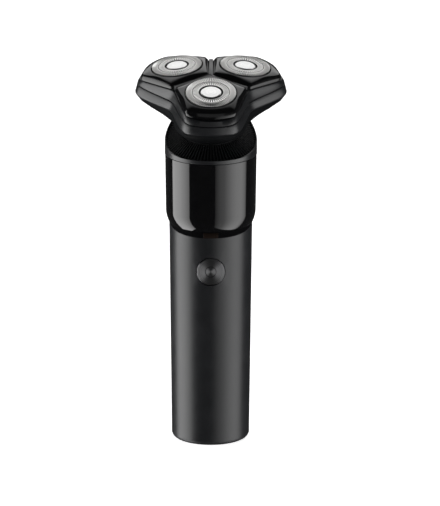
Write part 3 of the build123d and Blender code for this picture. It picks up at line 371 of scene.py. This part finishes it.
def turned(name, colour, worn, roughness, anisotropy, centre, axis, pitch_mm, depth_mm):
    """A metal turned about an axis: rings in colour and relief, and a gloss spread across them."""
    material = bare_material(name)
    place = add_node(material, "ShaderNodeTexCoord")
    offset = add_node(material, "ShaderNodeVectorMath", {"operation": "SUBTRACT"}, {1: centre},
                      {0: place.outputs["Object"]})
    height = add_node(material, "ShaderNodeVectorMath", {"operation": "DOT_PRODUCT"}, {1: axis},
                      {0: offset.outputs["Vector"]})
    along = add_node(material, "ShaderNodeVectorMath", {"operation": "SCALE"}, {0: axis},
                     {"Scale": height.outputs["Value"]})
    across = add_node(material, "ShaderNodeVectorMath", {"operation": "SUBTRACT"}, None,
                      {0: offset.outputs["Vector"], 1: along.outputs["Vector"]})
    radius = add_node(material, "ShaderNodeVectorMath", {"operation": "LENGTH"}, None,
                      {0: across.outputs["Vector"]})
    outward = add_node(material, "ShaderNodeVectorMath", {"operation": "NORMALIZE"}, None,
                       {0: across.outputs["Vector"]})
    rings = add_node(material, "ShaderNodeTexNoise", {"noise_dimensions": "1D"},
                     {"Scale": 1000 / pitch_mm, "Detail": 2.0}, {"W": radius.outputs["Value"]})
    shade = add_node(material, "ShaderNodeValToRGB", None, None, {"Fac": rings.outputs["Fac"]})
    for element, share, code in zip(shade.color_ramp.elements, ring_shares, (worn, colour)):
        element.position = share
        element.color = linear(code)
    bump = add_node(material, "ShaderNodeBump", None, {"Strength": 1.0, "Distance": depth_mm / 1000},
                    {"Height": rings.outputs["Fac"]})
    shader = add_node(material, "ShaderNodeBsdfPrincipled", None,
                      {"Metallic": 1.0, "Roughness": roughness, "Anisotropic": anisotropy},
                      {"Base Color": shade.outputs["Color"], "Tangent": outward.outputs["Vector"],
                       "Normal": bump.outputs["Normal"]})
    add_node(material, "ShaderNodeOutputMaterial", None, None, {"Surface": shader.outputs["BSDF"]})
    return material


button_profile = [(0, -dimple_depth), (dimple_radius, -dimple_edge), (dimple_radius, -groove_sink),
                  (groove_outer, -groove_sink), (groove_outer, 0), (button_radius - button_edge, 0),
                  (button_radius, -button_edge), (button_radius, -button_length), (0, -button_length)]
button = lathe(button_profile, button_steps, closed=False)
# The floor of the groove round the dimple is given the black nylon: painted shade in the recess.
for face in button.faces:
    middle = face.calc_center_median()
    in_groove = dimple_radius < middle.xy.length < groove_outer and middle.z < -dimple_depth
    face.material_index = 1 if in_groove else 0
button_place = Matrix.Translation((button_centre.x, button_low[1], button_centre.z))
button_stand = button_place @ Matrix.Rotation(pi / 2, 4, "X")
bmesh.ops.transform(button, matrix=button_stand, verts=button.verts)
# Black anodised aluminium, spun: its grooves are too fine to see, but they fan the side lamps out into a
# bow tie. The rings of colour are drawn coarser than the real ones so that they show.
button_metal = turned("anodised_aluminium_spun", "#767677", "#676768", 0.41, 1.0, button_centre,
                      joints["button_press"]["axis"], 0.35, 0.0)
show("spun_button", button, [button_metal, black_nylon_and_painted_shade], "button", "button_metal", "power_button",
     smooth_below=20)
finish(["switch_plunger"], black_nylon_and_painted_shade)

# Head shells: two injection mouldings with three lobes that meet in a fine seam under the covers.
# The lower one runs down into the round bowl over the neck; the upper one has a ledge for the covers and a
# three-armed web between them. Both are satin black.
lobes = {"front": radians(-90), "right": radians(30), "left": radians(150)}
lobe_spread = radians(100)
head_centre = Vector(joints["sun_spin"]["pos_m"])
head_up = Vector(joints["sun_spin"]["axis"])
head_right = Vector((1, 0, 0))
head_rear = head_up.cross(head_right)
bearing_steps = 360
bearings = [2 * pi * step / bearing_steps for step in range(bearing_steps)]
pod_reach = 0.0179
pod_slope = 0.1317
notch_power = 26
# Each outline is the lean of a lobe's sides, their distance from the axis, the lobe's reach, the radius of
# its end and the power that rounds its corners: a higher one leaves them sharper.
ledge = (radians(14.7), 0.0191, 0.0342, 0.0215, 14)
seam = (radians(13.6), 0.01935, 0.0353, 0.0260, 14)
hem = (radians(13.0), 0.0204, 0.0357, 0.0380, 15.4)
ledge_drop = 0.00449
ledge_chamfer = 0.0003
chamfer_share = 0.07
seam_height = -0.0089
seam_gap = 0.0003
seam_chamfer = 0.0002
seam_face = 0.0007
hem_height = -0.01337
hem_drop = 0.0043
hem_bend = 0.0010
hem_roll = 0.0007
bowl_height = -0.0229
bowl_radius = 0.0170
bowl_swell = 1.63
bowl_shares = (0.25, 0.5, 0.75, 0.92, 1.0)
seat_height = -0.0281
seat_radius = 0.0140
seat_steps = 5
inner_lip = 0.0022
# Each shell has a tongue that stands up behind the wall above it, so that no light shows through the seams.
tongue_inset = 0.0018
tongue_width = 0.0008
tongue_rise = 0.0012
web_half = 0.00095
web_length = 0.0188
web_top = -0.00053
web_fall = 0.0658
web_low = -0.005
web_bevel = 0.00025


def lobed(bearing, outline):
    """Radius of a three-lobed outline at a bearing. Powers round the lobes' corners and the notches."""
    lean, distance, reach, end_radius, corner_power = outline
    radius = 0.0
    for lobe_bearing in lobes.values():
        turn = abs((bearing - lobe_bearing + pi) % (2 * pi) - pi)
        if turn < lobe_spread:
            offset = reach - end_radius
            end = offset * cos(turn) + (end_radius ** 2 - (offset * sin(turn)) ** 2) ** 0.5
            cut = (max(sin(turn + lean), 0) / distance) ** corner_power + (1 / end) ** corner_power
            radius += cut ** (-notch_power / corner_power)
    return radius ** (1 / notch_power)


def on_head(bearing, radius, height):
    """A point of the head, by its bearing round the head's axis and its height from the guards' plane."""
    return head_centre + (head_right * cos(bearing) + head_rear * sin(bearing)) * radius + head_up * height


def skin(loops, inside):
    """A bmesh through closed loops of points: a ring of edges, pulled on from loop to loop."""
    shell = bmesh.new()
    ring = bmesh.ops.create_circle(shell, segments=len(loops[0]), radius=1.0)["verts"]
    edges = list(shell.edges)
    for vert, point in zip(ring, loops[0]):
        vert.co = point
    for loop in loops[1:]:
        pulled = bmesh.ops.extrude_edge_only(shell, edges=edges)["geom"]
        fresh = {item for item in pulled if isinstance(item, bmesh.types.BMVert)}
        edges = [item for item in pulled
                 if isinstance(item, bmesh.types.BMEdge) and fresh.issuperset(item.verts)]
        ring = [next(edge.other_vert(vert) for edge in vert.link_edges if edge.other_vert(vert) in fresh)
                for vert in ring]
        for vert, point in zip(ring, loop):
            vert.co = point
    bmesh.ops.recalc_face_normals(shell, faces=shell.faces)
    outward = [face.normal.dot(face.calc_center_median() - inside) * face.calc_area() for face in shell.faces]
    if sum(outward) < 0:
        bmesh.ops.reverse_faces(shell, faces=shell.faces)
    return shell


def ledge_height(bearing, radius):
    """Height of the ledge under the covers, which falls away outwards with each lobe."""
    fall = max(cos(bearing - lobe_bearing) for lobe_bearing in lobes.values())
    return -ledge_drop - (radius * fall - pod_reach) * pod_slope


def mix(a, b, share):
    """The value that lies a share of the way from a to b."""
    return a + (b - a) * share


# Rows of the upper shell, from its tongue down to the seam: inset, share of the way down, rise.
frame_wall = ((tongue_inset + tongue_width, 0.0, tongue_rise), (tongue_inset, 0.0, tongue_rise),
              (tongue_inset, 0.0, 0.0), (ledge_chamfer, 0.0, 0.0), (0.0, chamfer_share, 0.0),
              (0.0, 1 - chamfer_share, 0.0), (seam_chamfer, 1.0, 0.0), (seam_face, 1.0, 0.0))
frame_rows = []
for inset, share, rise in frame_wall:
    row = []
    for bearing in bearings:
        top, low = lobed(bearing, ledge), lobed(bearing, seam)
        height = mix(ledge_height(bearing, top), seam_height, share) + rise
        row.append(on_head(bearing, mix(top, low, share) - inset, height))
    frame_rows.append(row)
upper_shell = skin(frame_rows, on_head(0, 0, seam_height))
# The web is three narrow bars that fill the gaps between the covers.
for lobe_bearing in lobes.values():
    bearing = lobe_bearing + pi
    along = head_right * cos(bearing) + head_rear * sin(bearing)
    across = head_up.cross(along)
    bar = bmesh.ops.create_cube(upper_shell, size=1.0)["verts"]
    for corner in bar:
        reach = (corner.co.x + 0.5) * web_length
        height = web_top - web_fall * reach if corner.co.z > 0 else web_low
        corner.co = head_centre + along * reach + across * (2 * corner.co.y * web_half) + head_up * height
    bar_edges = list({edge for corner in bar for edge in corner.link_edges})
    bmesh.ops.bevel(upper_shell, geom=bar_edges, offset=web_bevel, offset_type="OFFSET", segments=2,
                    profile=0.5, affect="EDGES", material=-1, clamp_overlap=True)

# Rows of the lower shell, from its tongue down to the rolled hem: inset and drop from the seam.
base_top = seam_height - seam_gap
hem_foot = base_top - hem_drop
base_wall = ((tongue_inset, -tongue_rise), (tongue_width, -tongue_rise), (tongue_width, 0.0),
             (seam_chamfer, 0.0), (0.0, seam_chamfer), (0.0, hem_drop - hem_bend),
             (seam_chamfer, hem_drop - hem_bend / 2), (hem_roll, hem_drop))
base_rows = []
for inset, drop in base_wall:
    share = drop / (base_top - hem_height)
    base_rows.append([on_head(bearing, mix(lobed(bearing, seam), lobed(bearing, hem), share) - inset,
                              base_top - drop) for bearing in bearings])
for share in bowl_shares:
    swell = share ** bowl_swell
    base_rows.append([on_head(bearing, mix(lobed(bearing, hem) - hem_roll, bowl_radius, swell),
                              mix(hem_foot, bowl_height, share)) for bearing in bearings])
for step in range(1, seat_steps + 1):
    turn = step / seat_steps * pi / 2
    base_rows.append([on_head(bearing, mix(bowl_radius, seat_radius, 1 - cos(turn)),
                              mix(bowl_height, seat_height, sin(turn))) for bearing in bearings])
base_rows.append([on_head(bearing, seat_radius - inner_lip, seat_height) for bearing in bearings])
lower_shell = skin(base_rows, on_head(0, 0, hem_height))
# Faces below the hem take the darker bowl finish, which is painted shade.
for face in lower_shell.faces:
    height = (face.calc_center_median() - head_centre).dot(head_up)
    face.material_index = 1 if height < hem_foot else 0
# Satin moulding: a fine spark-eroded mould leaves a soft sheen that blurs the lamps on the lobes' sides.
head_satin = moulded("satin_abs_head_moulded", "#111214", "#141517", 0.33, 0.5, 0.001, ior=1.45)
show("upper_shell", upper_shell, [head_satin], "head", "head_black", "head_frame")
# Matt moulding with a coarser grain, in a darker black than the shell: painted shade that keeps the bowl
# under the hem almost black.
bowl_painted_shade_matt = moulded("matt_abs_bowl_painted_shade", "#0B0C0D", "#0D0E0F", 0.5, 0.4, 0.002, ior=1.12)
show("lower_shell", lower_shell, [head_satin, bowl_painted_shade_matt], "head", "head_black", "head_base")

# Gear train: a sun gear on the hexagonal bit turns three planets, on posts in the lower shell.
# Gears and spindles are moulded in acetal. Wire springs push the spindles up into the cutters, and a deck
# of nylon is screwed over the gears.
acetal = moulded("acetal_moulded", "#D8D5CC", "#DEDCD4", 0.4, 0.5, 0.002)
finish(["sun_gear"] + [f"{part}_{lobe}" for part in ("planet_gear", "spindle") for lobe in lobes], acetal)
finish(["gear_deck", "retaining_plate"], grey_nylon)
finish([f"spindle_spring_{lobe}" for lobe in lobes], spring_wire)

# Cutters: two rows of raked blades bent up from a stamped steel ring, riveted to a nylon hub.
# They turn against the underside of the guards and show as a dark row through the slots.
blade_steel = metal("blade_steel_stamped", "#7C7D80", 0.35, 0.2)
finish([f"cutter_blades_{lobe}" for lobe in lobes], blade_steel)
finish([f"cutter_hub_{lobe}" for lobe in lobes], black_nylon_and_painted_shade)

# Guards: cups drawn from thin stainless sheet, each with two rings of slots and a groove between the rings.
# They float in the pockets of the head, held down by the covers on their flanges.
guard_radius = 0.01135
guard_sheet = 0.0003
guard_edge = 0.00015
flange_radius = 0.0126
flange_top = 0.00375
flange_hem = 0.0008
cap_seat_radius = 0.0047
cap_seat_depth = 0.0005
moat_radius = 0.00545
moat_depth = 0.0012
moat_lip = 0.0002
moat_chamfer = 0.00015
groove_radius = 0.0084
groove_half = 0.0002
groove_depth = 0.0004
inner_slots = 44
outer_slots = 80
slot_border = 0.00015
slot_foot = -flange_top / 4
dark_margin = 0.0001
groove_margin = 1.1
inner_from = moat_radius + moat_chamfer + slot_border
inner_to = groove_radius - groove_half - slot_border
outer_from = groove_radius + groove_half + slot_border
inner_profile = [(0, -cap_seat_depth), (cap_seat_radius, -cap_seat_depth), (cap_seat_radius, -moat_depth),
                 (moat_radius, -moat_depth), (moat_radius, -moat_lip), (moat_radius + moat_chamfer, 0),
                 (inner_from, 0), (inner_to, 0), (groove_radius - groove_half, 0),
                 (groove_radius - groove_half, -groove_depth), (groove_radius, -groove_depth)]
outer_profile = [(groove_radius, -groove_depth), (groove_radius + groove_half, -groove_depth),
                 (groove_radius + groove_half, 0), (outer_from, 0), (guard_radius - guard_edge, 0),
                 (guard_radius, -guard_edge), (guard_radius, -2 * guard_edge), (guard_radius, -flange_top),
                 (flange_radius, -flange_top), (flange_radius, -flange_top - flange_hem)]


def slotted_ring(cup, profile, slots, slots_from, slots_to):
    """Turns a profile about Z, opens slots as wide as the lands between two radii, and adds it to a cup."""
    ring = lathe(profile, 2 * slots, closed=False)
    if sum(face.normal.z for face in ring.faces) < 0:
        bmesh.ops.reverse_faces(ring, faces=ring.faces)
    openings = []
    for face in ring.faces:
        middle = face.calc_center_median()
        column = int((atan2(middle.y, middle.x) % (2 * pi)) / (2 * pi) * 2 * slots)
        if column % 2 and slots_from < middle.xy.length < slots_to and middle.z > slot_foot:
            openings.append(face)
    bmesh.ops.delete(ring, geom=openings, context="FACES")
    sheet = bpy.data.meshes.new("ring")
    ring.to_mesh(sheet)
    ring.free()
    cup.from_mesh(sheet)
    bpy.data.meshes.remove(sheet)


for lobe in lobes:
    pod_centre = Vector(joints[f"cutter_spin_{lobe}"]["pos_m"])
    pod_axis = Vector(joints[f"cutter_spin_{lobe}"]["axis"])
    cup = bmesh.new()
    slotted_ring(cup, inner_profile, inner_slots, inner_from, inner_to)
    slotted_ring(cup, outer_profile, outer_slots, outer_from, 2 * guard_radius)
    # The moat, the groove and the cup's outer wall are given the black nylon: painted shade in the recesses
    # and in the gap under the cover's bezel.
    for face in cup.faces:
        middle = face.calc_center_median()
        radius = middle.xy.length
        in_moat = radius < moat_radius + dark_margin
        in_groove = abs(radius - groove_radius) < groove_half * groove_margin and middle.z < -dark_margin
        on_wall = radius > guard_radius - guard_edge and middle.z < -guard_edge
        face.material_index = 1 if in_moat or in_groove or on_wall else 0
    cup_stand = Matrix.Translation(pod_centre) @ pod_axis.to_track_quat("Z", "Y").to_matrix().to_4x4()
    bmesh.ops.transform(cup, matrix=cup_stand, verts=cup.verts)
    # Stainless sheet, lapped: a fine even grey with traces of the rings that the lapping leaves.
    guard_steel = turned(f"stainless_sheet_lapped_{lobe}", "#E6E5E3", "#D8D7D5", 0.32, 0.3,
                         pod_centre, pod_axis, 0.3, 0.001)
    guard = show(f"slotted_guard_{lobe}", cup, [guard_steel, black_nylon_and_painted_shade], f"guard_{lobe}", "guard_steel",
                 f"guard_{lobe}", smooth_below=15)
    guard_wall = guard.modifiers.new("sheet", "SOLIDIFY")
    guard_wall.thickness = guard_sheet
    guard_wall.offset = -1.0

# Guard caps: small discs turned from steel and polished, pressed into the middle of each guard.
# Polishing leaves them almost white, with a few faint rings.
for lobe in lobes:
    pod_centre = Vector(joints[f"cutter_spin_{lobe}"]["pos_m"])
    pod_axis = Vector(joints[f"cutter_spin_{lobe}"]["axis"])
    cap_steel = turned(f"steel_turned_and_polished_{lobe}", "#C9C9C8", "#BFBFBE", 0.25, 0.2,
                       pod_centre, pod_axis, 1.2, 0.004)
    finish([f"guard_cap_{lobe}"], cap_steel)

# Lobe covers: three five-sided mouldings with a round opening, polished black, clipped over the guards.
# Each one falls from a narrow bezel to its brow, gently at the corners and steeply at the sides, and rolls
# over into a short skirt.
ledge_lean, ledge_distance, ledge_reach, ledge_end = ledge[:4]
bezel_radius = 0.01175
bezel_width = 0.0006
bezel_drop = 0.0006
bezel_chamfer = 0.0002
cover_seat = 0.00335
cover_foot = 0.0041
cover_seam = 0.00035
cover_power = 40
web_gap = 0.0013
web_taper = radians(2)
cover_side = ledge_distance - cover_seam - pod_reach * sin(ledge_lean)
cover_end = ledge_reach - cover_seam - pod_reach
cover_inner = pod_reach * sin(radians(60)) - web_gap
brow_inset = 0.00125
brow_drop = 0.0010
brow_fall = 0.18
# Shares of the inset and of the fall from brow to foot, row by row: rounded brow, slope, upright skirt.
brow_roll = ((1.0, 0.0), (0.9, 0.03), (0.5, 0.28), (0.1, 0.53), (0.0, 0.6), (0.0, 1.0))
bezel_rows = ((bezel_radius, -cover_seat), (bezel_radius, -bezel_drop - bezel_chamfer),
              (bezel_radius + bezel_chamfer, -bezel_drop), (bezel_radius + bezel_width, -bezel_drop))


def cover_radius(turn):
    """Radius of the cover's outline about its pod, by the turn away from the lobe's own direction."""
    offset = cover_end - ledge_end
    end = offset * cos(turn) + (ledge_end ** 2 - (offset * sin(turn)) ** 2) ** 0.5
    cuts = [1 / end if cos(turn) > 0 else 0]
    for sign in (-1, 1):
        cuts.append(max(cos(turn - sign * (pi / 2 - ledge_lean)), 0) / cover_side)
        cuts.append(max(cos(turn - sign * (radians(150) - web_taper)), 0) / cover_inner)
    return sum(cut ** cover_power for cut in cuts) ** (-1 / cover_power)


def brow_height(turn):
    """Height of the brow, which lies lower where it is further from the bezel."""
    return -brow_drop - brow_fall * (cover_radius(turn) - brow_inset - bezel_radius - bezel_width)


def on_pod(pod, turn, radius, height):
    """A point of a pod, by its turn from the lobe's direction and its height from the top of the guard."""
    centre, out, side, axis = pod
    return centre + (out * cos(turn) + side * sin(turn)) * radius + axis * height


# Polished mould: a mirror black in which the lamps show with soft borders.
cover_gloss = moulded("gloss_abs_cover_moulded", "#060607", "#080809", 0.12, 2.0, 0.0004, ior=1.42)
for lobe in lobes:
    pod_centre = Vector(joints[f"cutter_spin_{lobe}"]["pos_m"])
    pod_axis = Vector(joints[f"cutter_spin_{lobe}"]["axis"])
    pod_out = (pod_centre - head_centre).normalized()
    pod_out = (pod_out - pod_axis * pod_out.dot(pod_axis)).normalized()
    pod = (pod_centre, pod_out, pod_axis.cross(pod_out), pod_axis)
    rows = [[on_pod(pod, turn, radius, height) for turn in bearings] for radius, height in bezel_rows]
    for inset_share, fall_share in brow_roll:
        rows.append([on_pod(pod, turn, cover_radius(turn) - brow_inset * inset_share,
                            mix(brow_height(turn), -cover_foot, fall_share)) for turn in bearings])
    rows.append([on_pod(pod, turn, cover_radius(turn) - brow_inset, -cover_foot) for turn in bearings])
    cover = skin(rows, on_pod(pod, 0, bezel_radius + bezel_width, -cover_foot))
    show(f"cover_{lobe}", cover, [cover_gloss], "head", "cover_black", f"lobe_cover_{lobe}",
         smooth_below=60)

# Studio floor: a pale round floor whose edge curves up into a low wall, so that no horizon shows.
# In the photo the gloss parts show a dark studio, so the floor is kept out of reflections.
floor_radius = 4.6
floor_curve = 1.2
floor_steps = 64
curve_steps = 8
wall_height = 2.0
glow_level = 0.8
floor_profile = [(0, 0), (floor_radius - floor_curve, 0)]
for step in range(1, curve_steps + 1):
    turn = radians(90 * step / curve_steps)
    floor_profile.append((floor_radius - floor_curve * (1 - sin(turn)), floor_curve * (1 - cos(turn))))
floor_profile.append((floor_radius, wall_height))
dome = lathe(floor_profile, floor_steps, closed=False)
if sum(face.normal.z * face.calc_area() for face in dome.faces) < 0:
    bmesh.ops.reverse_faces(dome, faces=dome.faces)
for face in dome.faces:
    face.smooth = True
floor_mesh = bpy.data.meshes.new("studio_floor")
dome.to_mesh(floor_mesh)
dome.free()
floor = bpy.data.objects.new("studio_floor", floor_mesh)
bpy.context.scene.collection.objects.link(floor)
# Matt paint that adds a glow for the camera, so that it reads as white paper while the shadow stays.
# From behind it is clear, so that a camera outside the wall sees in.
floor_paint = bare_material("matt_paint_rolled")
light_path = add_node(floor_paint, "ShaderNodeLightPath")
seen = add_node(floor_paint, "ShaderNodeMath", {"operation": "MAXIMUM"}, None,
                {0: light_path.outputs["Is Camera Ray"], 1: light_path.outputs["Is Glossy Ray"]})
seen = add_node(floor_paint, "ShaderNodeMath", {"operation": "MAXIMUM"}, None,
                {0: seen.outputs["Value"], 1: light_path.outputs["Is Transmission Ray"]})
glow_strength = add_node(floor_paint, "ShaderNodeMath", {"operation": "MULTIPLY"}, {1: glow_level},
                         {0: seen.outputs["Value"]})
glow = add_node(floor_paint, "ShaderNodeEmission", None, None, {"Strength": glow_strength.outputs["Value"]})
paint = add_node(floor_paint, "ShaderNodeBsdfDiffuse", None, {"Color": linear("#F4F4F4")})
front = add_node(floor_paint, "ShaderNodeAddShader", None, None,
                 {0: glow.outputs["Emission"], 1: paint.outputs["BSDF"]})
clear = add_node(floor_paint, "ShaderNodeBsdfTransparent")
side = add_node(floor_paint, "ShaderNodeNewGeometry")
sided = add_node(floor_paint, "ShaderNodeMixShader", None, None,
                 {"Fac": side.outputs["Backfacing"], 1: front.outputs["Shader"], 2: clear.outputs["BSDF"]})
add_node(floor_paint, "ShaderNodeOutputMaterial", None, None, {"Surface": sided.outputs["Shader"]})
floor_mesh.materials.append(floor_paint)
floor.visible_glossy = False
floor.visible_shadow = False

# Lamps: tall soft boxes to the left and right, a dim one above the camera and a broad one above the rear.
# The side ones reach below the floor, because the collar's lip shows them down there. The right one fades
# at both ends, which gives the long ramp of light on that side of collar and handle.
box_height = 1.22
box_distance = 0.6
box_aim = -0.25
object_middle = 0.09


def lamp(name, azimuth, elevation, distance, width, height, radiance, fade=((0.0, 1.0), (1.0, 1.0)),
         along="X", aim=object_middle):
    """A soft box, by its bearing and rise. fade lists shares of the way across and of the radiance."""
    data = bpy.data.lights.new(name, "AREA")
    data.shape = "RECTANGLE"
    data.size = width
    data.size_y = height
    data.energy = radiance * width * height * pi
    data.use_nodes = True
    data.node_tree.nodes.clear()
    place = add_node(data, "ShaderNodeNewGeometry")
    across = add_node(data, "ShaderNodeSeparateXYZ", None, None, {"Vector": place.outputs["Parametric"]})
    ramp = add_node(data, "ShaderNodeValToRGB", None, None, {"Fac": across.outputs[along]})
    ramp.color_ramp.elements[0].position = fade[0][0]
    ramp.color_ramp.elements[1].position = fade[-1][0]
    for share, _ in fade[1:-1]:
        ramp.color_ramp.elements.new(share)
    for element, (_, level) in zip(ramp.color_ramp.elements, fade):
        element.color = (level, level, level, 1.0)
    cloth = add_node(data, "ShaderNodeEmission", None, None, {"Color": ramp.outputs["Color"]})
    add_node(data, "ShaderNodeOutputLight", None, None, {"Surface": cloth.outputs["Emission"]})
    box = bpy.data.objects.new(name, data)
    a, e = radians(azimuth), radians(elevation)
    away = Vector((sin(a) * cos(e), -cos(a) * cos(e), sin(e)))
    box.location = Vector((0, 0, aim)) + away * distance
    box.rotation_mode = "QUATERNION"
    box.rotation_quaternion = away.to_track_quat("Z", "Y")
    box.visible_camera = False
    bpy.context.scene.collection.objects.link(box)


left_fade = ((0.0, 0.8), (0.3, 0.95), (0.5, 1.0), (0.75, 0.82), (1.0, 0.5))
lamp("left_box", -84.5, 0, box_distance, 0.65, box_height, 4.8, left_fade, aim=box_aim)
right_fade = ((0.0, 0.08), (0.19, 0.3), (0.3, 0.38), (0.5, 0.87), (0.6, 1.0), (0.75, 0.97), (0.9, 0.6),
              (1.0, 0.2))
lamp("right_box", 56, 0, box_distance, 1.2, box_height, 3.3, right_fade, aim=box_aim)
lamp("front_box", 0, 25, 1.2, 1.2, 0.5, 0.35)
rear_fade = ((0.0, 0.85), (0.45, 0.88), (0.58, 1.0), (0.72, 0.9), (0.85, 0.4), (1.0, 0.1))
lamp("rear_top_box", 180, 50, 1.0, 1.4, 1.1, 1.7, rear_fade, along="Y")

# Studio air: a dim grey all round, as in a dark studio, that fills the shadows a little.
world = bpy.data.worlds.new("studio_air")
bpy.context.scene.world = world
world.use_nodes = True
world.node_tree.nodes["Background"].inputs["Color"].default_value = linear("#363636")
world.node_tree.nodes["Background"].inputs["Strength"].default_value = 1.0

# Camera: in front and 16 degrees above, with a long lens, so that the handle's sides stay almost parallel.
# The photo leans by a tenth of a degree, which the camera repeats.
frame_height = 506
pixels_per_metre = 2200
view_rise = radians(16)
view_roll = radians(0.1)
view_distance = 4.6
view_centre = Vector((0.0042, 0, 0.0865))
camera_data = bpy.data.cameras.new("camera")
camera_data.sensor_fit = "VERTICAL"
camera_data.sensor_height = 36
camera_data.sensor_width = 36
camera_data.lens = view_distance * pixels_per_metre / frame_height * camera_data.sensor_height
camera_data.clip_end = 50
camera = bpy.data.objects.new("camera", camera_data)
toward = Vector((0, -cos(view_rise), sin(view_rise)))
camera.location = view_centre + toward * view_distance
camera.rotation_mode = "QUATERNION"
camera.rotation_quaternion = Quaternion(toward, view_roll) @ toward.to_track_quat("Z", "Y")
bpy.context.scene.collection.objects.link(camera)
bpy.context.scene.camera = camera
bpy.context.scene.view_settings.view_transform = "Standard"
